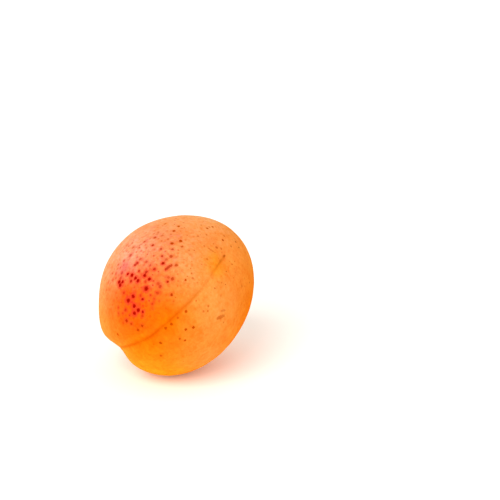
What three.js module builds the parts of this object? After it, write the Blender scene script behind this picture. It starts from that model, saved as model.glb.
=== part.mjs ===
// An apricot, picked and lying on its side: skin and flesh in one solid.
//
// Lengths are in millimetres and angles in degrees. The fruit is shaped about its own middle, with the
// apex, where the flower was, on +Z, the stem cavity on -Z, the suture down the +Y side and the fuller
// cheek on +X. A place on the skin is given by how far round it is, from the suture towards the fuller
// cheek, and how far down it is from the apex. The fruit is then turned the way it lies and moved so
// that the centre of its resting spot is the origin, with +Z up.

import * as THREE from "three";
import { mergeVertices } from "three/addons/utils/BufferGeometryUtils.js";

// ---- Driving dimensions ----

// The plain body, before its swells.
const BODY = {
  halfWidth: 22.3, // middle to either cheek
  halfDepth: 26.1, // middle to the suture, or to the back
  halfLength: 24.35, // middle to the apex, or to the stem end
  fullness: 2.1, // 2 is an ellipsoid, and more fills out its shoulders
};

// Where the flesh stands out of the plain body, or falls short of it.
const SWELLS = [
  { place: "fuller cheek", round: 99, down: 93, rise: 3.2, tightness: 3.1 },
  { place: "fuller cheek's lip at the stem", round: 28, down: 140, rise: 0.85, tightness: 24 },
  { place: "back shoulder by the apex", round: 173, down: 40, rise: 2.4, tightness: 4.9 },
  { place: "leaner cheek by the apex", round: -85, down: 39, rise: -1.3, tightness: 2.3 },
];

// The groove from the apex to the stem cavity. Its half-widths are where it is a third as deep.
const SUTURE = {
  apexBend: 1.05, // it crosses the middle plane: near the apex it bends this far towards the leaner cheek,
  stemBend: 2.9, // and near the stem this far towards the fuller cheek
  crossesFrom: 75, // the first of the two places between which it goes over from one bend to the other
  crossesTo: 105,
  apexDepth: 0.3,
  apexHalfWidth: 1.6,
  stemDepth: 1.9,
  stemHalfWidth: 4.9,
  deepensFrom: 85, // the first of the two places between which it deepens
  deepensTo: 140,
  fadesInOver: 6, // from the apex
  reach: 0.12, // how far to the suture side of the middle it is in full, as a share of the radius
  creaseDepth: 0.2, // the sharp fold at the bottom of the groove
  creaseHalfWidth: 0.8,
};

// The hollow that the stalk grew from: a wide bowl with the stalk's pit in its middle.
const STEM_CAVITY = {
  bowlDepth: 4.4,
  bowlHalfWidth: 7.5,
  pitDepth: 2.2,
  pitHalfWidth: 2.6,
  narrowing: 0.85, // its width across the suture, as a share of its width along it
};

// The shallow dent round the scar of the flower.
const APEX_DENT = { depth: 0.35, halfWidth: 2.6 };

// How it lies: turned on its own axis, leaned over from upright towards +X, then swung about Z.
const LIE = { spin: -169, lean: 44, swing: -28 };

// The middle, measured from the centre of the resting spot, which is about 7 mm across.
const MIDDLE = { x: 2.2, y: 0.8, z: 23.5 };

// The skin is a net of facets: its lines run from the apex to the stem, and its rings go round.
const NET = {
  lines: 88,
  rings: 56,
  crowdedToSuture: 0.6, // 0 spaces the lines evenly, and 1 would close them up at the suture
  crowdedToEnds: 0.35, // the same for the rings, at the apex and the stem
};

const SKIN = { color: 0xfa963f, roughness: 0.62, metalness: 0 };

// ---- Shape ----

const { degToRad, smoothstep, lerp } = THREE.MathUtils;

// The unit vector from the middle to a place on the skin. Angles here are in radians.
function directionTo(round, down) {
  const reach = Math.sin(down);
  return new THREE.Vector3(reach * Math.sin(round), reach * Math.cos(round), Math.cos(down));
}

// A rounded hump: 1 at its middle, and a third at its half-width.
function hump(distance, halfWidth) {
  return Math.exp(-((distance / halfWidth) ** 2));
}

// The distance from the middle to the skin, with the swells but no groove or hollow.
function plainRadius(direction) {
  const { halfWidth, halfDepth, halfLength, fullness } = BODY;
  const sum =
    Math.abs(direction.x / halfWidth) ** fullness +
    Math.abs(direction.y / halfDepth) ** fullness +
    Math.abs(direction.z / halfLength) ** fullness;
  let radius = sum ** (-1 / fullness);
  for (const swell of SWELLS) {
    const crest = directionTo(degToRad(swell.round), degToRad(swell.down));
    radius += swell.rise * Math.exp(swell.tightness * (direction.dot(crest) - 1));
  }
  return radius;
}

// How deep the suture is cut at a place.
function sutureDepth(direction, radius) {
  const down = Math.acos(THREE.MathUtils.clamp(direction.z, -1, 1));
  const degreesDown = THREE.MathUtils.radToDeg(down);
  const onSutureSide = smoothstep(direction.y, 0, SUTURE.reach);
  const fadeIn = smoothstep(degreesDown, 0, SUTURE.fadesInOver);
  const crossed = smoothstep(degreesDown, SUTURE.crossesFrom, SUTURE.crossesTo);
  const bend = lerp(SUTURE.apexBend, SUTURE.stemBend, crossed) * Math.sin(2 * down);
  const aside = direction.x * radius + bend;
  const towardsStem = smoothstep(degreesDown, SUTURE.deepensFrom, SUTURE.deepensTo);
  const depth = lerp(SUTURE.apexDepth, SUTURE.stemDepth, towardsStem);
  const halfWidth = lerp(SUTURE.apexHalfWidth, SUTURE.stemHalfWidth, towardsStem);
  const groove = depth * hump(aside, halfWidth);
  const crease = SUTURE.creaseDepth * hump(aside, SUTURE.creaseHalfWidth);
  return onSutureSide * fadeIn * (groove + crease);
}

// How deep the stem cavity is sunk at a place.
function cavityDepth(direction, radius) {
  if (direction.z > 0) return 0;
  const { bowlDepth, bowlHalfWidth, pitDepth, pitHalfWidth, narrowing } = STEM_CAVITY;
  const fromStalk = radius * Math.hypot(direction.x / narrowing, direction.y);
  const bowl = bowlDepth * hump(fromStalk, bowlHalfWidth);
  const pit = pitDepth * hump(fromStalk ** 2, pitHalfWidth ** 2);
  return bowl + pit;
}

// How deep the skin dips round the apex scar.
function apexDentDepth(direction, radius) {
  if (direction.z < 0) return 0;
  return APEX_DENT.depth * hump(radius * Math.hypot(direction.x, direction.y), APEX_DENT.halfWidth);
}

function skinPoint(direction) {
  const radius = plainRadius(direction);
  const sunk =
    sutureDepth(direction, radius) +
    cavityDepth(direction, radius) +
    apexDentDepth(direction, radius);
  return direction.clone().multiplyScalar(radius - sunk);
}

// A closed sphere of facets whose poles are the two ends of the fruit, each corner moved onto the skin.
function skinNet() {
  const sphere = new THREE.SphereGeometry(1, NET.lines, NET.rings).rotateX(Math.PI / 2);
  sphere.deleteAttribute("normal");
  sphere.deleteAttribute("uv");
  const net = mergeVertices(sphere);
  const corners = net.getAttribute("position");
  for (let i = 0; i < corners.count; i++) {
    const corner = new THREE.Vector3().fromBufferAttribute(corners, i).normalize();
    const evenRound = Math.atan2(corner.x, corner.y);
    const evenDown = Math.acos(corner.z);
    const round = evenRound - NET.crowdedToSuture * Math.sin(evenRound);
    const down = evenDown - (NET.crowdedToEnds / 2) * Math.sin(2 * evenDown);
    const point = skinPoint(directionTo(round, down));
    corners.setXYZ(i, point.x, point.y, point.z);
  }
  return net;
}

// Turns the fruit the way it lies, and presses what would be under the surface flat onto it.
function layDown(net) {
  net.rotateZ(degToRad(LIE.spin)).rotateY(degToRad(LIE.lean)).rotateZ(degToRad(LIE.swing));
  net.translate(MIDDLE.x, MIDDLE.y, MIDDLE.z);
  const corners = net.getAttribute("position");
  for (let i = 0; i < corners.count; i++) {
    corners.setZ(i, Math.max(corners.getZ(i), 0));
  }
  net.computeVertexNormals();
  return net;
}

// ---- The fruit ----

const apricot = new THREE.Mesh(layDown(skinNet()), new THREE.MeshStandardMaterial(SKIN));
apricot.name = "apricot";

const fruit = new THREE.Group();
fruit.add(apricot);

export default fruit;
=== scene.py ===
import math

import bpy
from mathutils import Matrix, Vector


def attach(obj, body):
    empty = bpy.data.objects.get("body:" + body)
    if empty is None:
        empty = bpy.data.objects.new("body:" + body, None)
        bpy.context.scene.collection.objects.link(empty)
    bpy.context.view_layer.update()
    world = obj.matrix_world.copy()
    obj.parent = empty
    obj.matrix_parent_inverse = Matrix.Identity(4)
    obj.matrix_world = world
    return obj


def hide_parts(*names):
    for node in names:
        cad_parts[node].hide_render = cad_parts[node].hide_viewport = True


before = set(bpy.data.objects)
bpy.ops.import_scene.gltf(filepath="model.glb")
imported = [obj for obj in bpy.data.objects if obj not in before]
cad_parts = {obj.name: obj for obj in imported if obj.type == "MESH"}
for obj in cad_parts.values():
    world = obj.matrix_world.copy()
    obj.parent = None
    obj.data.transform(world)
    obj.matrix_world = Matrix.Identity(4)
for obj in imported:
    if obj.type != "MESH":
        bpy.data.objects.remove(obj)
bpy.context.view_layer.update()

# ---- The apricot ----
# One fruit, grown in one piece: soft orange flesh in a thin downy skin, picked with no stalk. It is
# rounded about its middle, with a suture down one side from the apex, where the flower was, to the
# hollow that the stalk grew from. It lies on its side on a small flattened spot.

MM = 0.001

# Its form is worked out about its own middle: the apex is on +Z, the suture on +Y and the fuller cheek
# on +X. A place on the skin is how far round it is, from the suture towards the fuller cheek, and how
# far down from the apex, in degrees.
BODY = {
    "Half width": 22.3 * MM,
    "Half depth": 26.1 * MM,
    "Half length": 24.35 * MM,
    "Fullness": 2.1,
}
# Where the flesh stands out of the plain body, or falls short of it.
SWELLS = (
    {"round": 99, "down": 93, "rise": 3.2 * MM, "tightness": 3.1},  # the fuller cheek
    {"round": 28, "down": 140, "rise": 0.85 * MM, "tightness": 24.0},  # its lip at the stem
    {"round": 173, "down": 40, "rise": 2.4 * MM, "tightness": 4.9},  # the back shoulder by the apex
    {"round": -85, "down": 39, "rise": -1.3 * MM, "tightness": 2.3},  # the leaner cheek by the apex
)
SUTURE = {
    "Suture bend by the apex": 1.05 * MM,  # towards the leaner cheek
    "Suture bend by the stem": 2.9 * MM,  # towards the fuller cheek
    "Suture depth by the apex": 0.3 * MM,
    "Suture depth by the stem": 1.9 * MM,
    "Crease depth": 0.12 * MM,
}
SUTURE_HALF_WIDTHS = (1.6 * MM, 4.9 * MM)  # by the apex and by the stem
SUTURE_CROSSES = (math.radians(75), math.radians(105))
SUTURE_DEEPENS = (math.radians(85), math.radians(140))
SUTURE_FADES_IN = math.radians(6)
CREASE_HALF_WIDTH = 0.45 * MM
CREASE_BY_APEX = (math.radians(27), math.radians(12))  # it fades as it leaves the apex
CREASE_BY_STEM = (math.radians(42), math.radians(85))  # and comes back towards the stem,
CREASE_SHARE_BY_STEM = 0.7  # but not as deep
CREASE_SHARE_BETWEEN = 0.1
SUTURE_REACH = 0.12  # how far to the suture side of the middle it is in full, as a share of the radius
STEM_CAVITY = {
    "Stem bowl depth": 4.4 * MM,
    "Stem pit depth": 2.2 * MM,
}
STEM_BOWL_HALF_WIDTH = 7.5 * MM
STEM_PIT_HALF_WIDTH = 2.6 * MM
STEM_NARROWING = 0.85
APEX_DENT_DEPTH = 0.35 * MM
APEX_DENT_HALF_WIDTH = 2.6 * MM
LUMPS = {"Lump height": 0.2 * MM}
LUMP_SPACING = 11 * MM

# How it lies, as in the solid that it stands for.
MIDDLE = Vector((2.2, 0.8, 23.5)) * MM
SPIN, LEAN, SWING = (math.radians(angle) for angle in (-169, 44, -28))
LIE = Matrix.Rotation(SWING, 3, "Z") @ Matrix.Rotation(LEAN, 3, "Y") @ Matrix.Rotation(SPIN, 3, "Z")
SEAT_ROUNDING = 0.25 * MM

# The net of the skin: its lines run from the apex to the stem, and its rings go round.
NET = {"Lines": 384, "Rings": 256}
CROWDED_TO_SUTURE = 0.45
CROWDED_TO_ENDS = 0.2

# The freckles that show most, as (round, down, width in mm). The rest are strewn by the rule below.
BOLD_FRECKLES = (
    # in the blush
    (27, 68, 1.6), (28, 79, 1.3), (28, 84, 1.6), (22, 82, 1.3), (18, 81, 1.3), (18, 85, 1.3),
    (46, 77, 1.0), (22, 74, 0.9), (15, 79, 0.8), (40, 50, 1.1), (43, 74, 1.3), (39, 72, 1.2),
    (36, 71, 1.2), (45, 86, 1.4), (42, 86, 1.3), (37, 65, 1.2), (32, 63, 1.1), (43, 83, 1.1),
    # on the shoulder of the fuller cheek
    (67, 35, 1.2), (63, 41, 1.2), (64, 55, 0.9), (85, 42, 1.1), (95, 41, 1.0),
    # round the apex
    (119, 25, 0.9), (132, 26, 0.8), (142, 13, 0.8), (180, 21, 0.7), (-167, 20, 0.6),
    # beside the suture, on the fuller cheek
    (14, 42, 0.8), (22, 53, 0.8), (11, 56, 0.9), (18, 94, 1.1), (8, 86, 1.0), (8, 91, 1.1),
    (16, 110, 1.1),
    # beside it on the leaner cheek
    (-7, 57, 1.0), (-5, 70, 1.0), (-4, 75, 1.0), (-9, 86, 1.1), (-16, 67, 0.9), (-20, 63, 1.0),
    (-21, 74, 0.8), (-24, 48, 0.5),
)
MIDDLING_FRECKLES = (
    # in the blush
    (39, 76, 1.1), (43, 68, 0.8), (51, 68, 1.1), (50, 70, 0.9), (39, 63, 1.1), (38, 57, 1.0),
    (33, 42, 1.1), (22, 49, 1.1), (14, 92, 1.0),
    # on the shoulder of the fuller cheek
    (45, 43, 1.2), (48, 49, 0.9), (57, 49, 0.9), (54, 41, 0.9), (57, 34, 0.9), (74, 54, 1.0),
    (71, 62, 0.8),
    # on the leaner cheek
    (-16, 95, 1.0), (-17, 75, 0.9), (-20, 31, 0.6),
)
PALE_FRECKLES = (
    # in the blush and beside it
    (47, 84, 1.2), (50, 82, 1.0), (54, 88, 0.9), (51, 92, 0.9), (35, 85, 1.0), (32, 66, 1.0),
    (25, 51, 1.0), (25, 59, 1.2), (22, 59, 1.1), (19, 63, 1.1), (25, 74, 0.9), (15, 70, 0.9),
    (13, 81, 1.0), (24, 90, 1.1), (26, 97, 0.9), (43, 47, 1.1), (43, 59, 0.9), (48, 61, 0.9),
    (53, 65, 0.9), (62, 73, 1.2),
    # past it, where the cheek turns away
    (60, 79, 0.8), (60, 85, 0.8), (57, 92, 0.9), (53, 98, 1.0), (49, 102, 0.9),
    # on the shoulder of the fuller cheek
    (69, 71, 1.1), (81, 53, 0.8), (80, 56, 0.8), (70, 44, 0.8), (76, 49, 1.0),
    # beside the suture
    (6, 58, 0.8), (11, 37, 0.8),
    # round the apex and on the leaner cheek
    (27, 18, 0.8), (86, 24, 0.8), (116, 30, 0.7), (150, 18, 0.7), (178, 12, 0.8), (-22, 45, 0.8),
    (-20, 50, 0.8),
)
# How deep the colour of each group is.
FRECKLE_DEPTHS = {1.0: BOLD_FRECKLES, 0.78: MIDDLING_FRECKLES, 0.52: PALE_FRECKLES}
STREAKS = (
    # a red smear in the blush
    {"start": (33, 50), "end": (35, 45), "width": 1.1, "depth": 0.78},
    # a dry scrape on the leaner cheek, and a fainter one beside it
    {"start": (-38, 50), "end": (-45, 47), "width": 1.4, "depth": 0.52},
    {"start": (-40, 44), "end": (-45, 43), "width": 0.9, "depth": 0.36},
    # a thin crack beside the apex
    {"start": (60, 14), "end": (50, 9), "width": 0.9, "depth": 0.36},
)
SPOTS_IN_A_STREAK = 5
STREAK_END_WIDTH = 0.7  # as a share of the width at its middle
SCATTER = {"Freckle spacing": 1.1 * MM, "Freckles per square metre": 560000.0, "Freckle seed": 7}
SCATTER_WIDTHS = (0.35 * MM, 0.9 * MM)
SCATTER_DEPTHS = (0.2, 0.75)
SCATTER_CLEAR_OF_MARKED = 1.3 * MM

# Where freckles are thick, how far they spread in degrees, and how thickly they are strewn there.
BLUSH = {"round": 33, "down": 77, "spread": 25}
BLUSH_EDGE = {"round": 60, "down": 55, "spread": 45}
STREWN_IN_BLUSH = 0.6
STREWN_AT_ITS_EDGE = 0.8
STREWN_ELSEWHERE = 0.06


def direction_to(place):
    """The unit vector from the middle of the fruit to a place on its skin."""
    round_by, down_by = math.radians(place["round"]), math.radians(place["down"])
    reach = math.sin(down_by)
    return Vector((reach * math.sin(round_by), reach * math.cos(round_by), math.cos(down_by)))


class Field:
    """A value at every point of the skin, given by a node, so that the nodes can be written as sums."""

    def __init__(self, socket):
        self.socket = socket

    def __add__(self, other):
        return maths("ADD", self, other)

    def __radd__(self, other):
        return maths("ADD", other, self)

    def __sub__(self, other):
        return maths("SUBTRACT", self, other)

    def __rsub__(self, other):
        return maths("SUBTRACT", other, self)

    def __mul__(self, other):
        return maths("MULTIPLY", self, other)

    def __rmul__(self, other):
        return maths("MULTIPLY", other, self)

    def __truediv__(self, other):
        return maths("DIVIDE", self, other)

    def __rtruediv__(self, other):
        return maths("DIVIDE", other, self)

    def __pow__(self, other):
        return maths("POWER", self, other)


def feed(value, socket):
    """Joins a field to a node's input, or sets the input to a plain value."""
    if isinstance(value, Field):
        socket.id_data.links.new(value.socket, socket)
    else:
        socket.default_value = value


def new_node(kind, tree, **settings):
    node = tree.nodes.new(kind)
    for name, value in settings.items():
        setattr(node, name, value)
    return node


def tree_of(values):
    return next(value.socket.id_data for value in values if isinstance(value, Field))


def maths(operation, *values):
    node = new_node("ShaderNodeMath", tree_of(values), operation=operation)
    for value, socket in zip(values, node.inputs):
        feed(value, socket)
    return Field(node.outputs[0])


def vector_maths(operation, *values, result="Vector"):
    node = new_node("ShaderNodeVectorMath", tree_of(values), operation=operation)
    for value, socket in zip(values, node.inputs):
        feed(value, socket)
    return Field(node.outputs[result])


def dot(first, second):
    return vector_maths("DOT_PRODUCT", first, second, result="Value")


def scaled(vector, size):
    node = new_node("ShaderNodeVectorMath", tree_of([vector, size]), operation="SCALE")
    feed(vector, node.inputs["Vector"])
    feed(size, node.inputs["Scale"])
    return Field(node.outputs["Vector"])


def split(vector):
    node = new_node("ShaderNodeSeparateXYZ", tree_of([vector]))
    feed(vector, node.inputs[0])
    return [Field(socket) for socket in node.outputs]


def joined(x, y, z):
    node = new_node("ShaderNodeCombineXYZ", tree_of([x, y, z]))
    for value, socket in zip((x, y, z), node.inputs):
        feed(value, socket)
    return Field(node.outputs[0])


def ramp(value, start, end):
    """0 before start and 1 after end, with a smooth rise between."""
    node = new_node("ShaderNodeMapRange", tree_of([value, start, end]), interpolation_type="SMOOTHSTEP")
    feed(value, node.inputs["Value"])
    feed(start, node.inputs["From Min"])
    feed(end, node.inputs["From Max"])
    return Field(node.outputs["Result"])


def between(first, second, share):
    return first + (second - first) * share


def hump(distance, half_width):
    """A rounded hump: 1 at its middle, and a third at its half-width."""
    shares = distance / half_width
    return maths("EXPONENT", shares * shares * -1)


def nearness(direction, place, tightness):
    """1 at a place on the skin, falling off round it."""
    return maths("EXPONENT", (dot(direction, direction_to(place)) - 1) * tightness)


def patch(direction, place):
    """1 at a place on the skin, and a third as far from it as its spread, in degrees."""
    return nearness(direction, place, 2 / math.radians(place["spread"]) ** 2)


def noise(vector, spacing, detail=2.0, roughness=0.5, output="Fac"):
    """Cloudy noise from 0 to 1 whose clouds are about one spacing apart."""
    node = new_node("ShaderNodeTexNoise", tree_of([vector]))
    feed(vector, node.inputs["Vector"])
    node.inputs["Scale"].default_value = 1 / spacing
    node.inputs["Detail"].default_value = detail
    node.inputs["Roughness"].default_value = roughness
    return Field(node.outputs[output])


def plain_radius(direction, sizes):
    """From the middle to the skin, with the swells but no groove or hollow."""
    reaches = zip(split(direction), ("Half width", "Half depth", "Half length"))
    shares = [maths("ABSOLUTE", reach / sizes[name]) ** sizes["Fullness"] for reach, name in reaches]
    radius = (shares[0] + shares[1] + shares[2]) ** (-1 / sizes["Fullness"])
    for swell in SWELLS:
        radius = radius + nearness(direction, swell, swell["tightness"]) * swell["rise"]
    return radius


def beside_suture(across, down, sizes):
    """How far a place is from the line of the suture, towards the fuller cheek."""
    crossed = ramp(down, *SUTURE_CROSSES)
    bend = between(sizes["Suture bend by the apex"], sizes["Suture bend by the stem"], crossed)
    return across + bend * maths("SINE", down * 2)


def crease_share(down):
    """How sharply the suture is folded at its bottom: most by the apex, then by the stem."""
    by_stem = ramp(down, *CREASE_BY_STEM) * CREASE_SHARE_BY_STEM
    return ramp(down, *CREASE_BY_APEX) + by_stem + CREASE_SHARE_BETWEEN


def suture_depth(direction, radius, sizes):
    across, towards_suture, along = split(direction)
    down = maths("ARCCOSINE", along)
    aside = beside_suture(across * radius, down, sizes)
    towards_stem = ramp(down, *SUTURE_DEEPENS)
    depth = between(sizes["Suture depth by the apex"], sizes["Suture depth by the stem"], towards_stem)
    groove = depth * hump(aside, between(*SUTURE_HALF_WIDTHS, towards_stem))
    crease = sizes["Crease depth"] * crease_share(down) * hump(aside, CREASE_HALF_WIDTH)
    shown = ramp(towards_suture, 0.0, SUTURE_REACH) * ramp(down, 0.0, SUTURE_FADES_IN)
    return (groove + crease) * shown


def cavity_depth(direction, radius, sizes):
    across, towards_suture, along = split(direction)
    squeezed = across / STEM_NARROWING
    from_stalk = radius * maths("SQRT", squeezed * squeezed + towards_suture * towards_suture)
    bowl = sizes["Stem bowl depth"] * hump(from_stalk, STEM_BOWL_HALF_WIDTH)
    pit = sizes["Stem pit depth"] * hump(from_stalk * from_stalk, STEM_PIT_HALF_WIDTH**2)
    return (bowl + pit) * maths("LESS_THAN", along, 0.0)


def apex_dent_depth(direction, radius):
    across, towards_suture, along = split(direction)
    from_apex = radius * maths("SQRT", across * across + towards_suture * towards_suture)
    return APEX_DENT_DEPTH * hump(from_apex, APEX_DENT_HALF_WIDTH) * maths("GREATER_THAN", along, 0.0)


def skin_point(direction, sizes):
    """Where the skin is in a direction from the fruit's middle."""
    radius = plain_radius(direction, sizes)
    sunk = (
        suture_depth(direction, radius, sizes)
        + cavity_depth(direction, radius, sizes)
        + apex_dent_depth(direction, radius)
    )
    lumps = sizes["Lump height"] * (noise(scaled(direction, radius), LUMP_SPACING) - 0.5) * 2
    return scaled(direction, radius - sunk + lumps)


def crowded(position):
    """Moves a corner of an even sphere so that the net's lines are closer together at the suture."""
    x, y, z = split(position)
    even_round = maths("ARCTAN2", x, y)
    even_down = maths("ARCCOSINE", z)
    round_by = even_round - maths("SINE", even_round) * CROWDED_TO_SUTURE
    down_by = even_down - maths("SINE", even_down * 2) * (CROWDED_TO_ENDS / 2)
    reach = maths("SINE", down_by)
    return joined(
        reach * maths("SINE", round_by), reach * maths("COSINE", round_by), maths("COSINE", down_by)
    )


def set_position(geometry, position):
    node = new_node("GeometryNodeSetPosition", geometry.socket.id_data)
    feed(geometry, node.inputs["Geometry"])
    feed(position, node.inputs["Position"])
    return Field(node.outputs["Geometry"])


def store(geometry, name, value, data_type="FLOAT"):
    node = new_node("GeometryNodeStoreNamedAttribute", geometry.socket.id_data, data_type=data_type)
    feed(geometry, node.inputs["Geometry"])
    node.inputs["Name"].default_value = name
    feed(value, node.inputs["Value"])
    return Field(node.outputs["Geometry"])


def named(tree, name):
    node = new_node("GeometryNodeInputNamedAttribute", tree, data_type="FLOAT")
    node.inputs["Name"].default_value = name
    return Field(node.outputs["Attribute"])


def at_nearest(points, position):
    """For each place on the skin, the number of the point nearest to it."""
    node = new_node("GeometryNodeSampleNearest", points.socket.id_data, domain="POINT")
    feed(points, node.inputs["Geometry"])
    feed(position, node.inputs["Sample Position"])
    return Field(node.outputs["Index"])


def sampled(points, value, index, data_type="FLOAT"):
    tree = points.socket.id_data
    node = new_node("GeometryNodeSampleIndex", tree, data_type=data_type, domain="POINT")
    feed(points, node.inputs["Geometry"])
    feed(value, node.inputs["Value"])
    feed(index, node.inputs["Index"])
    return Field(node.outputs["Value"])


def mark_skin(skin, freckles, name, position):
    """Stores on the skin how far it is to the nearest freckle, which way, its width and its depth."""
    index = at_nearest(freckles, position)
    centre = sampled(freckles, position, index, "FLOAT_VECTOR")
    offset = vector_maths("SUBTRACT", position, centre)
    tree = skin.socket.id_data
    width, depth = (sampled(freckles, named(tree, key), index) for key in ("width", "depth"))
    skin = store(skin, name + "_offset", offset, "FLOAT_VECTOR")
    skin = store(skin, name + "_distance", vector_maths("LENGTH", offset, result="Value"))
    skin = store(skin, name + "_width", width)
    return store(skin, name + "_depth", depth)


def scattered_freckles(skin, marked, position, sizes):
    """Points strewn over the skin, thickest in the blush, and clear of the marked freckles."""
    tree = skin.socket.id_data
    direction = vector_maths("NORMALIZE", position)
    at_edge = patch(direction, BLUSH_EDGE) * STREWN_AT_ITS_EDGE
    density = at_edge + patch(direction, BLUSH) * STREWN_IN_BLUSH + STREWN_ELSEWHERE
    strewn = new_node("GeometryNodeDistributePointsOnFaces", tree, distribute_method="POISSON")
    feed(skin, strewn.inputs["Mesh"])
    feed(sizes["Freckle spacing"], strewn.inputs["Distance Min"])
    feed(sizes["Freckles per square metre"], strewn.inputs["Density Max"])
    feed(maths("MINIMUM", density, 1.0), strewn.inputs["Density Factor"])
    feed(sizes["Freckle seed"], strewn.inputs["Seed"])
    points = Field(strewn.outputs["Points"])
    nearest = sampled(marked, position, at_nearest(marked, position), "FLOAT_VECTOR")
    gap = vector_maths("DISTANCE", position, nearest, result="Value")
    cleared = new_node("GeometryNodeDeleteGeometry", tree, domain="POINT")
    feed(points, cleared.inputs["Geometry"])
    feed(maths("LESS_THAN", gap, SCATTER_CLEAR_OF_MARKED), cleared.inputs["Selection"])
    scattered = Field(cleared.outputs["Geometry"])
    for name, limits, seed in (("width", SCATTER_WIDTHS, 0), ("depth", SCATTER_DEPTHS, 1)):
        chance = new_node("FunctionNodeRandomValue", tree, data_type="FLOAT")
        feed(sizes["Freckle seed"] + seed, chance.inputs["Seed"])
        scattered = store(scattered, name, between(*limits, Field(chance.outputs[1]) ** 2))
    return scattered


def form_tree():
    """The nodes that make the fruit. They are given its marked freckles, as points on a unit sphere."""
    tree = bpy.data.node_groups.new("Apricot form", "GeometryNodeTree")
    tree.interface.new_socket(name="Fruit", in_out="OUTPUT", socket_type="NodeSocketGeometry")
    tree.interface.new_socket(name="Marked freckles", in_out="INPUT", socket_type="NodeSocketGeometry")
    values = {**BODY, **SUTURE, **STEM_CAVITY, **LUMPS, **NET, **SCATTER}
    for name, value in values.items():
        kind = "NodeSocketInt" if isinstance(value, int) else "NodeSocketFloat"
        tree.interface.new_socket(name=name, in_out="INPUT", socket_type=kind)
    tree.interface.new_socket(name="Skin", in_out="INPUT", socket_type="NodeSocketMaterial")
    given = new_node("NodeGroupInput", tree)
    sizes = {socket.name: Field(socket) for socket in given.outputs if socket.name}
    position = Field(new_node("GeometryNodeInputPosition", tree).outputs["Position"])

    sphere = new_node("GeometryNodeMeshUVSphere", tree)
    feed(sizes["Lines"], sphere.inputs["Segments"])
    feed(sizes["Rings"], sphere.inputs["Rings"])
    skin = set_position(Field(sphere.outputs["Mesh"]), crowded(position))
    on_skin = skin_point(position, sizes)
    skin = set_position(skin, on_skin)
    as_points = new_node("GeometryNodeMeshToPoints", tree)
    feed(set_position(sizes["Marked freckles"], on_skin), as_points.inputs["Mesh"])
    marked = Field(as_points.outputs["Points"])
    strewn = scattered_freckles(skin, marked, position, sizes)
    skin = mark_skin(skin, marked, "marked", position)
    skin = mark_skin(skin, strewn, "strewn", position)

    laid = new_node("GeometryNodeTransform", tree)
    feed(skin, laid.inputs["Geometry"])
    laid.inputs["Rotation"].default_value = LIE.to_euler()
    laid.inputs["Translation"].default_value = MIDDLE
    x, y, z = split(position)
    seated = maths("SMOOTH_MAX", z, 0.0, SEAT_ROUNDING)
    skin = set_position(Field(laid.outputs["Geometry"]), joined(x, y, seated))

    smooth = new_node("GeometryNodeSetShadeSmooth", tree)
    feed(skin, smooth.inputs["Geometry"])
    whole = new_node("GeometryNodeRealizeInstances", tree)
    feed(Field(smooth.outputs["Geometry"]), whole.inputs["Geometry"])
    finished = new_node("GeometryNodeSetMaterial", tree)
    feed(Field(whole.outputs["Geometry"]), finished.inputs["Geometry"])
    feed(sizes["Skin"], finished.inputs["Material"])
    result = new_node("NodeGroupOutput", tree)
    feed(Field(finished.outputs["Geometry"]), result.inputs["Fruit"])
    return tree, values


def spots_along(streak):
    """A streak as a row of spots that run together, as (round, down, width, depth)."""
    for i in range(SPOTS_IN_A_STREAK):
        share = i / (SPOTS_IN_A_STREAK - 1)
        place = [between(*ends, share) for ends in zip(streak["start"], streak["end"])]
        narrowed = between(STREAK_END_WIDTH, 1, math.sin(share * math.pi))
        yield (*place, streak["width"] * narrowed, streak["depth"])


def grow_apricot(material):
    """The fruit as a plain mesh in metres, in the place where it lies."""
    seeds = bpy.data.meshes.new("Marked freckles")
    freckles = [(*freckle, depth) for depth, group in FRECKLE_DEPTHS.items() for freckle in group]
    freckles += [spot for streak in STREAKS for spot in spots_along(streak)]
    seeds.from_pydata([direction_to({"round": r, "down": d}) for r, d, _, _ in freckles], [], [])
    widths = seeds.attributes.new("width", "FLOAT", "POINT")
    depths = seeds.attributes.new("depth", "FLOAT", "POINT")
    for i, (_, _, width, depth) in enumerate(freckles):
        widths.data[i].value = width * MM
        depths.data[i].value = depth
    holder = bpy.data.objects.new("Marked freckles", seeds)
    bpy.context.scene.collection.objects.link(holder)
    tree, values = form_tree()
    modifier = holder.modifiers.new("Form", "NODES")
    modifier.node_group = tree
    inputs = {s.name: s.identifier for s in tree.interface.items_tree if s.in_out == "INPUT"}
    for name, value in values.items():
        modifier[inputs[name]] = value
    modifier[inputs["Skin"]] = material
    depsgraph = bpy.context.evaluated_depsgraph_get()
    mesh = bpy.data.meshes.new_from_object(holder.evaluated_get(depsgraph))
    bpy.data.objects.remove(holder)
    mesh.name = "Apricot skin"
    fruit = bpy.data.objects.new("apricot_fruit", mesh)
    bpy.context.scene.collection.objects.link(fruit)
    return fruit


def paint(red, green, blue):
    """The linear colour that shows on a screen as these parts of 255."""
    shares = [part / 255 for part in (red, green, blue)]
    return tuple(((s + 0.055) / 1.055) ** 2.4 if s > 0.04045 else s / 12.92 for s in shares) + (1.0,)


GROUND = paint(240, 138, 44)
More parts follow.
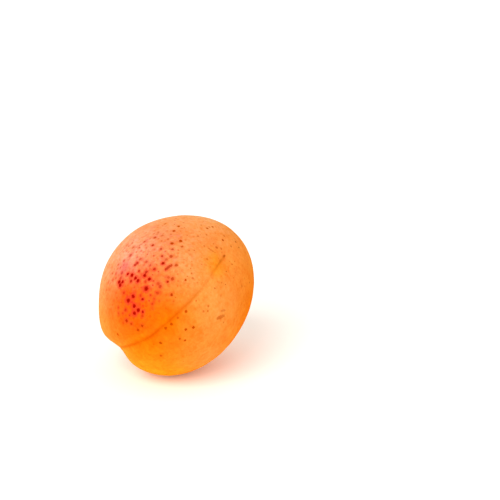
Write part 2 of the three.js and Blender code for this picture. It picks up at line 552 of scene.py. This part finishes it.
# What sun, shade and ripening have made of it, with some painted light and shade, one over another.
# Spreads are in degrees.
TINTS = (
    # a thin bloom over the fuller cheek, thickest on its crest, on its shoulder and on its back; partly
    # the down's own paleness and partly painted sheen and reflected light
    {"round": 60, "down": 60, "spread": 50, "colour": paint(212, 112, 62)},
    {"round": 62, "down": 72, "spread": 19, "colour": paint(212, 144, 110)},
    {"round": 28, "down": 32, "spread": 25, "colour": paint(222, 138, 78)},
    {"round": 135, "down": 50, "spread": 28, "colour": paint(228, 152, 92)},
    {"round": 100, "down": 105, "spread": 40, "colour": paint(228, 152, 112)},
    # the leaner cheek: pale from the apex down its middle, and deep orange where it turns away, which
    # is painted shade with a painted orange reflection
    {"round": -25, "down": 42, "spread": 24, "colour": paint(234, 144, 66)},
    {"round": -50, "down": 90, "spread": 20, "colour": paint(230, 142, 68)},
    {"round": -108, "down": 60, "spread": 32, "colour": paint(230, 108, 0)},
    # deeper orange beside the apex, and again in a band along the suture
    {"round": 5, "down": 14, "spread": 12, "colour": paint(238, 132, 30)},
    {"round": 0, "down": 70, "spread": 20, "colour": paint(228, 116, 4)},
    {"round": -2, "down": 95, "spread": 30, "colour": paint(226, 100, 0)},
    # the blush
    {"round": 24, "down": 84, "spread": 25, "colour": paint(214, 82, 4)},
    # the yellower flesh by the stem
    {"round": -35, "down": 120, "spread": 28, "colour": paint(240, 148, 20)},
)
# The patches of colour wander off their round shapes.
WANDER_SPACING = 5 * MM
WANDER_REACH = 0.22
# The skin is mottled on two scales, which moves its red, green and blue by these shares.
MOTTLE_SPACINGS = (3.2 * MM, 1.0 * MM)
MOTTLE_SHARES = (0.15, 0.7, 1.4)
# It is flushed with pink in blotches, partly a rosy colour and partly painted sheen of the light.
PINK = paint(200, 98, 88)
BLOTCH_SPACING = 2.2 * MM
PINK_AND_SHEEN = {"round": 65, "down": 60, "spread": 30, "blotches": (0.52, 0.72), "share": 0.7}
PINK_PATCH = {"round": 54, "down": 79, "spread": 5.5, "blotches": (0.3, 0.5), "share": 0.9}

RED_HALO = paint(220, 46, 36)
RED_FRECKLE = paint(148, 10, 0)
BROWN_FRECKLE = paint(176, 64, 0)
EDGE_SHARE_OF_BLUSH = 0.45  # how thick the freckles are at the blush's edge, where 1 is in the blush
REDDENS = (0.25, 0.8)  # how thick they are where they turn from brown to red
FRECKLE_RIM = (1.4, 0.5)  # where a freckle starts to colour, and where it is in full, in half-widths
HALO_RIM = (2.8, 1.0)  # the same for the red round it
HALO_SHARE = 0.7
RAGGED_SPACING = 0.5 * MM
FRECKLE_RAGGEDNESS = 1.1
OFFSET_HOLDS_TO = (0.35 * MM, 0.55 * MM)  # how far off a freckle's offset can be trusted
SPECK_SPACING = 1.4 * MM
SPECK_HALF_WIDTH = 0.55 * MM
SPECKS_FROM = (-0.1, 0.5)  # how thick freckles are where specks start to show, and where in full
SPECK_SHARE = 0.35

# The suture's line and the shade beside it are painted shade, darkening its crease and one wall.
SUTURE_PAINTED_SHADE = (0.76, 0.66, 0.42)  # what is left of its red, green and blue in the suture
LINE_HALF_WIDTH = 0.55 * MM
LINE_MOVES = (math.radians(25), math.radians(40))  # past here it lies on the leaner cheek's side,
LINE_MOVES_BY = 0.3 * MM  # this far off the bottom of the suture
LINE_FADES = {"down": math.radians(27), "half length": math.radians(11), "share": 0.6}
# The shade on the leaner cheek's side of the line, by the apex.
SHADE = {"aside": -0.8 * MM, "half width": 0.8 * MM, "share": 0.3}
SHADE_ENDS = (math.radians(24), math.radians(10))
# The lip of the suture on the fuller cheek, and how much more red, green and blue it has.
LIP = {"aside": 1.7 * MM, "half width": 1.0 * MM}
LIP_RUN = {"down": math.radians(90), "half length": math.radians(22)}
# The lip's paler colour is painted light, where the groove's wall faces the light.
LIP_PAINTED_LIGHT = (1.0, 1.2, 1.7)
SUTURE_SIDE = (0.2 * MM, 1.2 * MM)

# The scars' rims go from the outside to where the colour is in full.
HOLLOW = paint(206, 84, 12)
HOLLOW_RIM = (9 * MM, 2 * MM)
HOLLOW_SHARE = 0.8
SCAR = paint(96, 50, 22)
SCAR_RIM = (2.1 * MM, 1.5 * MM)
SCAR_TORN_BY = 1.2 * MM
SCAR_PITH = paint(160, 98, 48)
PITH_RIM = (1.1 * MM, 0.4 * MM)
PITH_SHARE = 0.7
APEX_SCAR = paint(176, 78, 14)
APEX_SCAR_RIM = (0.5 * MM, 0.15 * MM)
APEX_SCAR_ASIDE = 0.3 * MM  # towards the suture
APEX_SCAR_STRETCH = 2  # how much longer it is than wide
DOWN_SPACING = 0.25 * MM
PORE_SPACING = 1.6 * MM


def tinted(under, over, share):
    node = new_node("ShaderNodeMix", share.socket.id_data, data_type="RGBA", clamp_factor=True)
    feed(share, node.inputs["Factor"])
    colours = [socket for socket in node.inputs if socket.type == "RGBA"]
    feed(under, colours[0])
    feed(over, colours[1])
    return Field(next(socket for socket in node.outputs if socket.type == "RGBA"))


def on_mesh(tree, name, output="Fac"):
    return Field(new_node("ShaderNodeAttribute", tree, attribute_name=name).outputs[output])


def freckle_edge(tree, name, place):
    """How far a point is from the middle of the nearest freckle: 1 is its edge, which is ragged."""
    offset = on_mesh(tree, name + "_offset", "Vector")
    distance = on_mesh(tree, name + "_distance")
    width = on_mesh(tree, name + "_width")
    # Close by, the offset's length is the truer distance. Further off it breaks between two freckles.
    close = vector_maths("LENGTH", offset, result="Value")
    apart = between(close, distance, ramp(distance, *OFFSET_HOLDS_TO))
    ragged = (noise(place, RAGGED_SPACING) - 0.5) * FRECKLE_RAGGEDNESS
    return apart / (width / 2) + ragged


def specks(place, spacing, half_width):
    """Small spots about one spacing apart, each of its own depth."""
    cells = new_node("ShaderNodeTexVoronoi", tree_of([place]))
    feed(place, cells.inputs["Vector"])
    cells.inputs["Scale"].default_value = 1 / spacing
    chance = split(Field(cells.outputs["Color"]))[0]
    edge = Field(cells.outputs["Distance"]) * (spacing / half_width)
    edge = edge + (noise(place, RAGGED_SPACING) - 0.5)
    return ramp(edge, *FRECKLE_RIM) * chance


def ground_colour(place, direction):
    """The colour of the skin before its freckles, with some painted shade, sheen and reflected light.
    """
    cloud = noise(place, WANDER_SPACING, detail=3.0, output="Color")
    wander = scaled(vector_maths("SUBTRACT", cloud, (0.5, 0.5, 0.5)), WANDER_REACH)
    wandering = vector_maths("NORMALIZE", vector_maths("ADD", direction, wander))
    colour = GROUND
    for tint in TINTS:
        colour = tinted(colour, tint["colour"], patch(wandering, tint))
    coarse, fine = (noise(place, spacing, detail=3.0, roughness=0.65) for spacing in MOTTLE_SPACINGS)
    mottle = coarse + fine - 1
    colour = vector_maths("MULTIPLY", colour, joined(*(mottle * share + 1 for share in MOTTLE_SHARES)))
    blotch = noise(place, BLOTCH_SPACING, detail=4.0, roughness=0.7)
    # pink blotches: partly rosy colour, partly painted sheen
    for pink in (PINK_AND_SHEEN, PINK_PATCH):
        share = patch(direction, pink) * ramp(blotch, *pink["blotches"]) * pink["share"]
        colour = tinted(colour, PINK, share)
    return colour


def freckled(colour, tree, place, direction):
    """The colour with its freckles: red with a halo in the blush, and brown elsewhere."""
    thickness = patch(direction, BLUSH) + patch(direction, BLUSH_EDGE) * EDGE_SHARE_OF_BLUSH
    redness = ramp(thickness, *REDDENS)
    freckle = tinted(BROWN_FRECKLE, RED_FRECKLE, redness)
    faint = specks(place, SPECK_SPACING, SPECK_HALF_WIDTH) * ramp(thickness, *SPECKS_FROM)
    colour = tinted(colour, freckle, faint * SPECK_SHARE)
    for name in ("strewn", "marked"):
        edge = freckle_edge(tree, name, place)
        depth = on_mesh(tree, name + "_depth")
        colour = tinted(colour, RED_HALO, ramp(edge, *HALO_RIM) * redness * depth * HALO_SHARE)
        colour = tinted(colour, freckle, ramp(edge, *FRECKLE_RIM) * depth)
    return colour


def lined(colour, place, direction):
    """The colour with the suture's line and the shade beside it as painted shade, and its lip painted
    lighter.
    """
    across, towards_suture, _ = split(place)
    down = maths("ARCCOSINE", split(direction)[2])
    aside = beside_suture(across, down, SUTURE) + ramp(down, *LINE_MOVES) * LINE_MOVES_BY
    faded = hump(down - LINE_FADES["down"], LINE_FADES["half length"]) * LINE_FADES["share"]
    # the line is painted shade along the bottom of the suture's crease
    line = hump(aside, LINE_HALF_WIDTH) * (1 - faded)
    shade = hump(aside - SHADE["aside"], SHADE["half width"]) * ramp(down, *SHADE_ENDS) * SHADE["share"]
    # the lip is painted light on the groove's lit wall
    lip = hump(aside - LIP["aside"], LIP["half width"])
    lip = lip * hump(down - LIP_RUN["down"], LIP_RUN["half length"])
    on_suture_side = ramp(towards_suture, *SUTURE_SIDE)
    crease_shaded = vector_maths("MULTIPLY", colour, SUTURE_PAINTED_SHADE)
    lit_lip = vector_maths("MULTIPLY", colour, LIP_PAINTED_LIGHT)
    colour = tinted(colour, lit_lip, lip * on_suture_side)
    return tinted(colour, crease_shaded, maths("MAXIMUM", line, shade) * on_suture_side)


def scarred(colour, place):
    """The colour with the stem's hollow and the scars at both ends."""
    across, towards_suture, along = split(place)
    squeezed = across / STEM_NARROWING
    from_stalk = maths("SQRT", squeezed * squeezed + towards_suture * towards_suture)
    torn = from_stalk + (noise(place, SCAR_TORN_BY, detail=3.0) - 0.5) * SCAR_TORN_BY
    stem_end = maths("LESS_THAN", along, 0.0)
    colour = tinted(colour, HOLLOW, ramp(from_stalk, *HOLLOW_RIM) * stem_end * HOLLOW_SHARE)
    colour = tinted(colour, SCAR, ramp(torn, *SCAR_RIM) * stem_end)
    colour = tinted(colour, SCAR_PITH, ramp(torn, *PITH_RIM) * stem_end * PITH_SHARE)
    squashed = (towards_suture - APEX_SCAR_ASIDE) / APEX_SCAR_STRETCH
    from_apex = maths("SQRT", across * across + squashed * squashed)
    apex_end = maths("GREATER_THAN", along, 0.0)
    return tinted(colour, APEX_SCAR, ramp(from_apex, *APEX_SCAR_RIM) * apex_end)


def skin_material():
    """Downy skin over orange flesh."""
    material = bpy.data.materials.new("Apricot skin")
    material.use_nodes = True
    tree = material.node_tree
    shader = tree.nodes["Principled BSDF"]
    laid = Field(new_node("ShaderNodeTexCoord", tree).outputs["Object"])
    turned = new_node("ShaderNodeVectorRotate", tree, rotation_type="EULER_XYZ", invert=True)
    feed(vector_maths("SUBTRACT", laid, MIDDLE), turned.inputs["Vector"])
    turned.inputs["Rotation"].default_value = LIE.to_euler()
    place = Field(turned.outputs[0])
    direction = vector_maths("NORMALIZE", place)
    colour = freckled(ground_colour(place, direction), tree, place, direction)
    feed(scarred(lined(colour, place, direction), place), shader.inputs["Base Color"])

    grain = noise(place, DOWN_SPACING, detail=3.0)
    pores = noise(place, PORE_SPACING, detail=3.0)
    bump = new_node("ShaderNodeBump", tree)
    bump.inputs["Strength"].default_value = 0.35
    bump.inputs["Distance"].default_value = 0.05 * MM
    feed(grain + pores, bump.inputs["Height"])
    feed(Field(bump.outputs["Normal"]), shader.inputs["Normal"])
    shader.inputs["Roughness"].default_value = 0.6
    shader.inputs["IOR"].default_value = 1.4
    shader.inputs["Specular IOR Level"].default_value = 0.0
    shader.inputs["Subsurface Weight"].default_value = 0.35
    shader.inputs["Subsurface Radius"].default_value = (1.0, 0.45, 0.15)
    shader.inputs["Subsurface Scale"].default_value = 1.5 * MM
    shader.inputs["Sheen Weight"].default_value = 0.07
    shader.inputs["Sheen Roughness"].default_value = 0.3
    shader.inputs["Sheen Tint"].default_value = paint(255, 196, 120)
    return material


apricot_fruit = grow_apricot(skin_material())
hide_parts("apricot")
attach(apricot_fruit, "root")

# ---- The surface it lies on ----
# A plain sheet of warm white acrylic, wide enough to fill the view behind the fruit. It glows faintly
# warm orange, a painted glow that lifts the shadow beside the fruit and warms it like light thrown
# back from the fruit.

FLOOR_HALF_WIDTH = 3.0

floor_mesh = bpy.data.meshes.new("Floor")
near, far = -FLOOR_HALF_WIDTH, FLOOR_HALF_WIDTH
corners = [(near, near, 0), (far, near, 0), (far, far, 0), (near, far, 0)]
floor_mesh.from_pydata(corners, [], [(0, 1, 2, 3)])
floor = bpy.data.objects.new("floor", floor_mesh)
bpy.context.scene.collection.objects.link(floor)
floor_material = bpy.data.materials.new("White acrylic")
floor_material.use_nodes = True
floor_shader = floor_material.node_tree.nodes["Principled BSDF"]
floor_shader.inputs["Base Color"].default_value = (0.93, 0.91, 0.86, 1)
# a painted warm glow, not a lamp: it softens and warms the shadow beside the fruit
floor_shader.inputs["Emission Color"].default_value = (1.0, 0.76, 0.54, 1)
floor_shader.inputs["Emission Strength"].default_value = 0.14
floor_shader.inputs["Roughness"].default_value = 0.9
floor_shader.inputs["Specular IOR Level"].default_value = 0.1
floor_mesh.materials.append(floor_material)

# ---- Studio light ----
# A bright white room, and one large soft light, which stands high in front of the fruit and to its
# left.

world = bpy.data.worlds.new("Studio")
world.use_nodes = True
world.node_tree.nodes["Background"].inputs["Color"].default_value = (1, 1, 1, 1)
world.node_tree.nodes["Background"].inputs["Strength"].default_value = 0.85
bpy.context.scene.world = world
bpy.context.scene.view_settings.view_transform = "Standard"


def soft_light(name, place, aim, width, watts):
    lamp = bpy.data.lights.new(name, "AREA")
    lamp.shape = "DISK"
    lamp.size = width
    lamp.energy = watts
    light = bpy.data.objects.new(name, lamp)
    light.location = place
    light.rotation_euler = (Vector(aim) - Vector(place)).to_track_quat("-Z", "Y").to_euler()
    bpy.context.scene.collection.objects.link(light)


soft_light("Front light", place=(-0.7, -1.3, 1.2), aim=MIDDLE, width=1.6, watts=32.0)

# ---- Camera ----
# A long lens that looks down on the fruit a little, with the fruit left of the frame's middle and
# below it.

CAMERA_LENS = 150
CAMERA_DOWN = math.radians(20)
CAMERA_DISTANCE = 659 * MM
FRUIT_LEFT = 22.64 * MM
FRUIT_BELOW = 15.32 * MM

ahead = Vector((0, math.cos(CAMERA_DOWN), -math.sin(CAMERA_DOWN)))
upwards = Vector((0, math.sin(CAMERA_DOWN), math.cos(CAMERA_DOWN)))
aim = MIDDLE + Vector((FRUIT_LEFT, 0, 0)) + upwards * FRUIT_BELOW
camera_data = bpy.data.cameras.new("Camera")
camera_data.lens = CAMERA_LENS
camera = bpy.data.objects.new("Camera", camera_data)
camera.location = aim - ahead * CAMERA_DISTANCE
camera.rotation_euler = (math.pi / 2 - CAMERA_DOWN, 0, 0)
bpy.context.scene.collection.objects.link(camera)
bpy.context.scene.camera = camera
